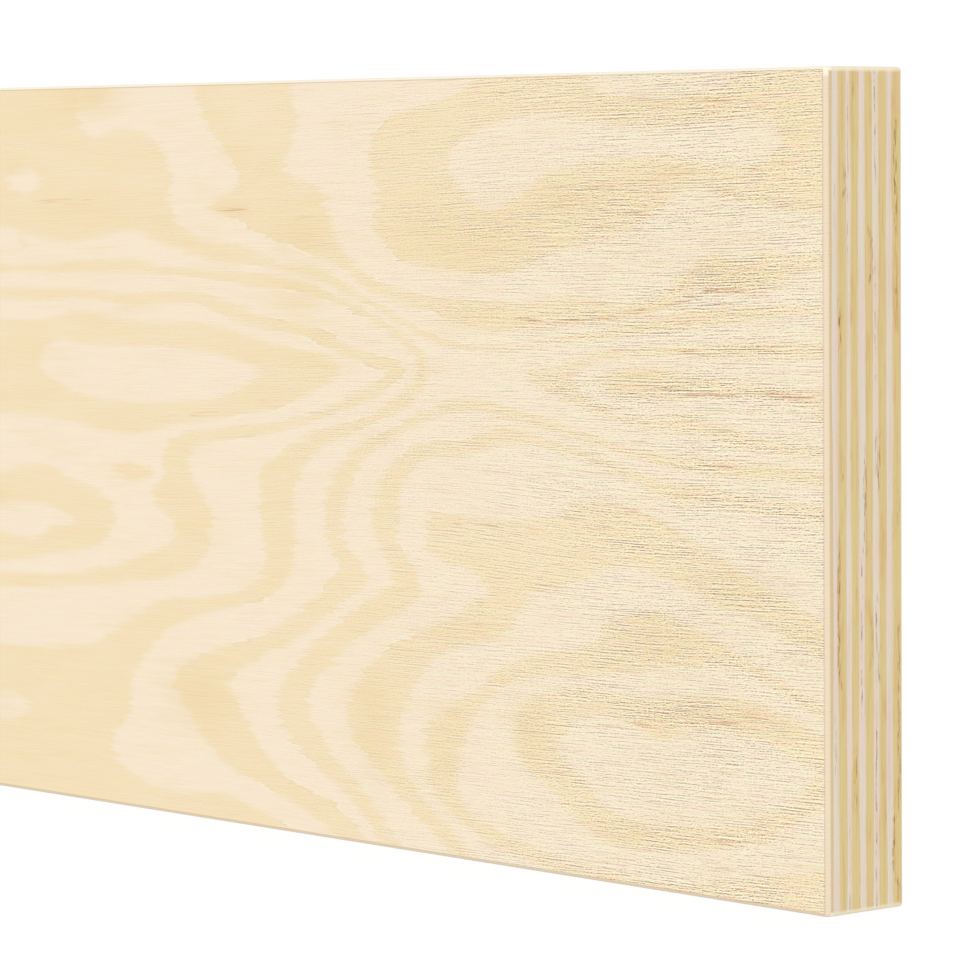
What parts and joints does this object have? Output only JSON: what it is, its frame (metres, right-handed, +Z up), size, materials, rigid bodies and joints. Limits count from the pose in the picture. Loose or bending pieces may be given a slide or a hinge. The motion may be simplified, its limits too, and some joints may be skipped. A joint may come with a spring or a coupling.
{
  "type": "plywood panel",
  "caption": "Narrow rectangular plywood panel with a lengthwise-grained face veneer, banded cross-laminated edges and lightly eased arrises, lying flat.",
  "frame": {"origin": "centre of the underside, on the back veneer", "axes": "+X along the panel and its face grain, +Y across the panel, +Z up through the thickness, towards the face veneer"},
  "size_m": [0.6, 0.14, 0.018],
  "materials": {
    "face_veneer": "satin",
    "long_veneer": "matte",
    "cross_veneer": "matte",
    "back_veneer": "satin"
  },
  "bodies": {
    "root": {"face_veneer": "face_veneer", "cross_ply_2": "cross_veneer", "long_ply_3": "long_veneer", "cross_ply_4": "cross_veneer", "long_ply_5": "long_veneer", "cross_ply_6": "cross_veneer", "long_ply_7": "long_veneer", "cross_ply_8": "cross_veneer", "long_ply_9": "long_veneer", "cross_ply_10": "cross_veneer", "back_veneer": "back_veneer"}
  },
  "joints": []
}
